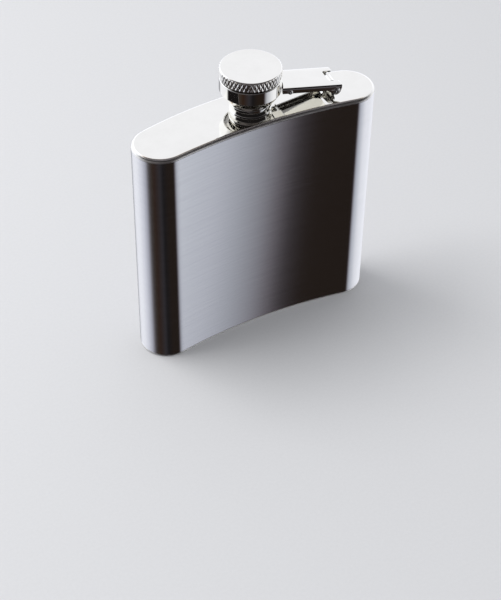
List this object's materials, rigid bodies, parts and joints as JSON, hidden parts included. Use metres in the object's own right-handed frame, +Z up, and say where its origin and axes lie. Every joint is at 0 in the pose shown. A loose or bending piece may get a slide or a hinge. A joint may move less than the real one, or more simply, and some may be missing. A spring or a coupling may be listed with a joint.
{
  "type": "hip flask",
  "caption": "Curved pocket hip flask in brushed steel, with a knurled screw cap kept on a hinged lever that flips clear of the neck.",
  "frame": {"origin": "middle of the footprint on the resting face of the bottom plate", "axes": "+Z up through the neck, +X towards the hinge bracket along the width, +Y towards the convex back"},
  "size_m": [0.094, 0.0252, 0.1087],
  "materials": {
    "brushed_wrap": "fine horizontal brushing",
    "polished_plate": "mirror polished",
    "polished_neck": "polished",
    "polished_hinge": "mirror polished",
    "polished_cap": "mirror polished",
    "pin_steel": "tumbled",
    "washer": "matte nylon",
    "seal": "matte silicone"
  },
  "bodies": {
    "flask": {"body_shell": "brushed_wrap", "top_plate": "polished_plate", "bottom_plate": "polished_plate", "neck": "polished_neck", "bracket": "polished_hinge"},
    "lever": {"lever": "polished_hinge", "bracket_pin": "pin_steel", "collar_pin": "pin_steel"},
    "collar": {"collar": "polished_cap"},
    "slip_washer": {"slip_washer": "washer"},
    "cap": {"cap_crown": "polished_cap", "cap_liner": "polished_neck", "retaining_ring": "pin_steel", "cap_seal": "seal"}
  },
  "joints": [
    {"name": "lever_swing", "type": "hinge", "parent": "flask", "child": "lever", "pos_m": [0.03013, -0.00155, 0.0949], "axis": [0.1045, 0.9945, 0], "range_deg": [0, 110]},
    {"name": "collar_tilt", "type": "hinge", "parent": "lever", "child": "collar", "pos_m": [0.01243, 0.00031, 0.0987], "axis": [0.1045, 0.9945, 0], "range_deg": [0, 9.9]},
    {"name": "cap_rise", "type": "slide", "parent": "collar", "child": "slip_washer", "axis": [0, 0, 1], "range_m": [0, 0.003]},
    {"name": "cap_turn", "type": "hinge", "parent": "slip_washer", "child": "cap", "pos_m": [0, 0.00162, 0.1], "axis": [0, 0, 1], "range_deg": [0, 720]}
  ],
  "couplings": [
    {"joint": "collar_tilt", "follows": "lever_swing", "ratio": 0.09},
    {"joint": "cap_rise", "follows": "cap_turn", "m_per_rad": 0.00023873}
  ]
}
